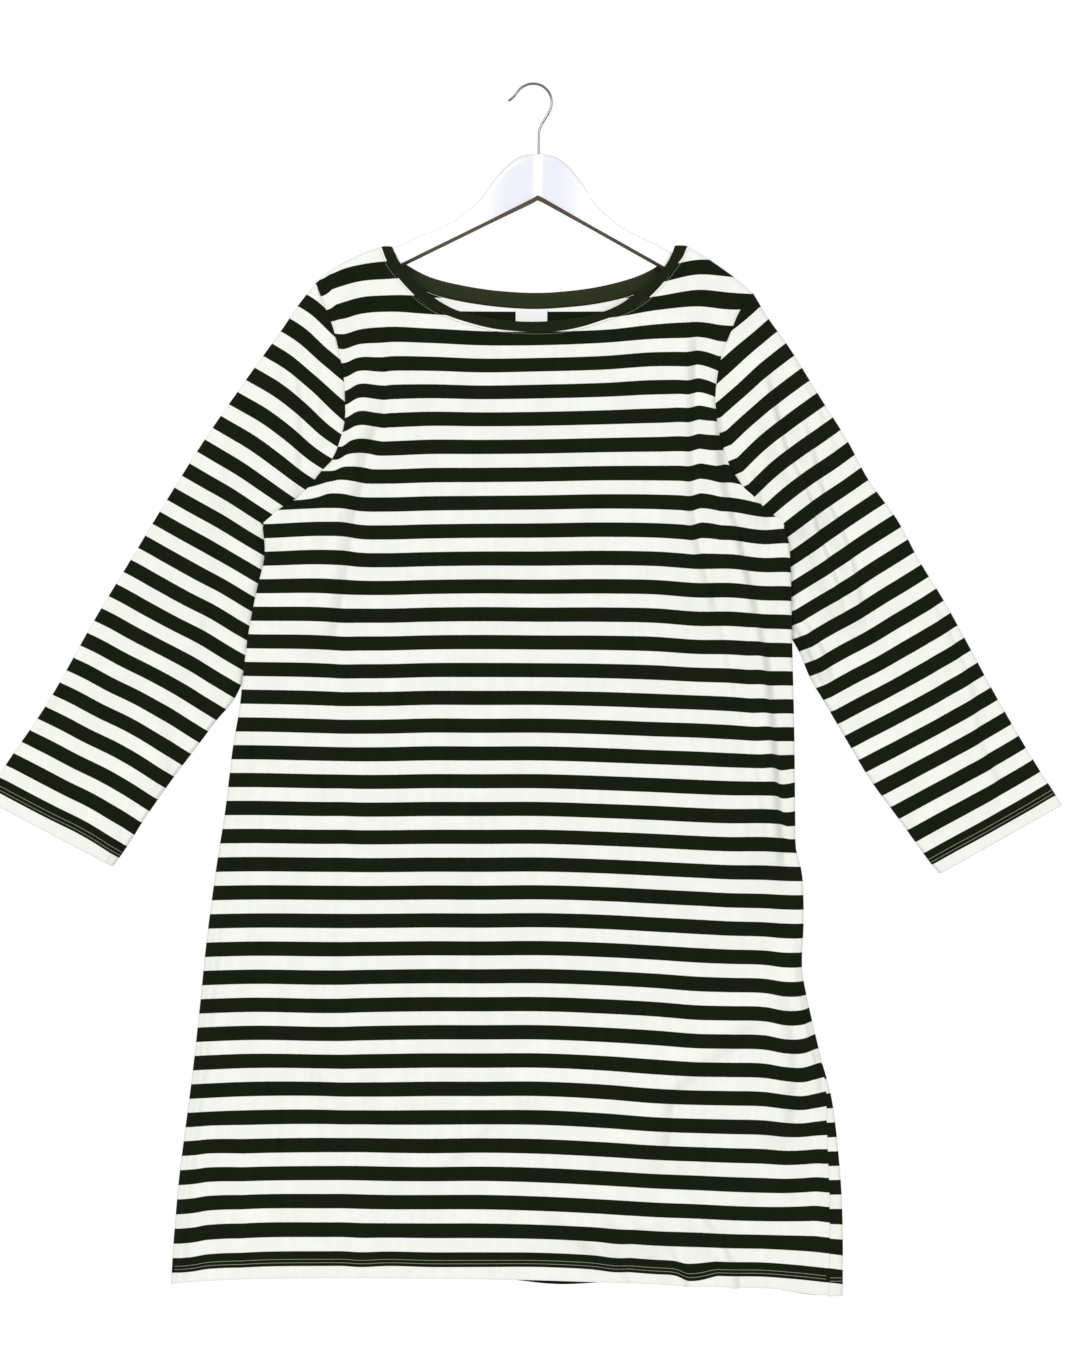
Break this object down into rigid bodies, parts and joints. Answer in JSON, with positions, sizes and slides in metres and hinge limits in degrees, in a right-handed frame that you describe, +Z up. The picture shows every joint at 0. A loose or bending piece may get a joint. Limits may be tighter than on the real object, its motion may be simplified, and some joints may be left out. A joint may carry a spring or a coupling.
{
  "type": "t-shirt dress on a hanger",
  "caption": "Long-sleeved striped jersey t-shirt dress with a wide boat neck and a slightly flared skirt, hanging on a white wooden clothes hanger with a wire hook.",
  "frame": {"origin": "inside of the hook's crown, where a rail carries the hanger, in the plane between front and back", "axes": "+Z up, -Y out of the front of the dress, +X to the right of someone looking at the front"},
  "size_m": [1.044, 0.034, 1.1771],
  "materials": {
    "striped_jersey": "matt cotton jersey, dark green and off-white stripes across",
    "band_jersey": "matt cotton jersey, plain dark green",
    "label_tape": "smooth woven tape, blank",
    "white_paint": "wood under smooth white lacquer",
    "polished_steel": "bright polished wire"
  },
  "bodies": {
    "root": {"front_panel": "striped_jersey", "back_panel": "striped_jersey", "sleeve_left": "striped_jersey", "sleeve_right": "striped_jersey", "neck_band": "band_jersey", "neck_label": "label_tape", "hanger_body": "white_paint", "hanger_hook": "polished_steel"}
  },
  "joints": []
}
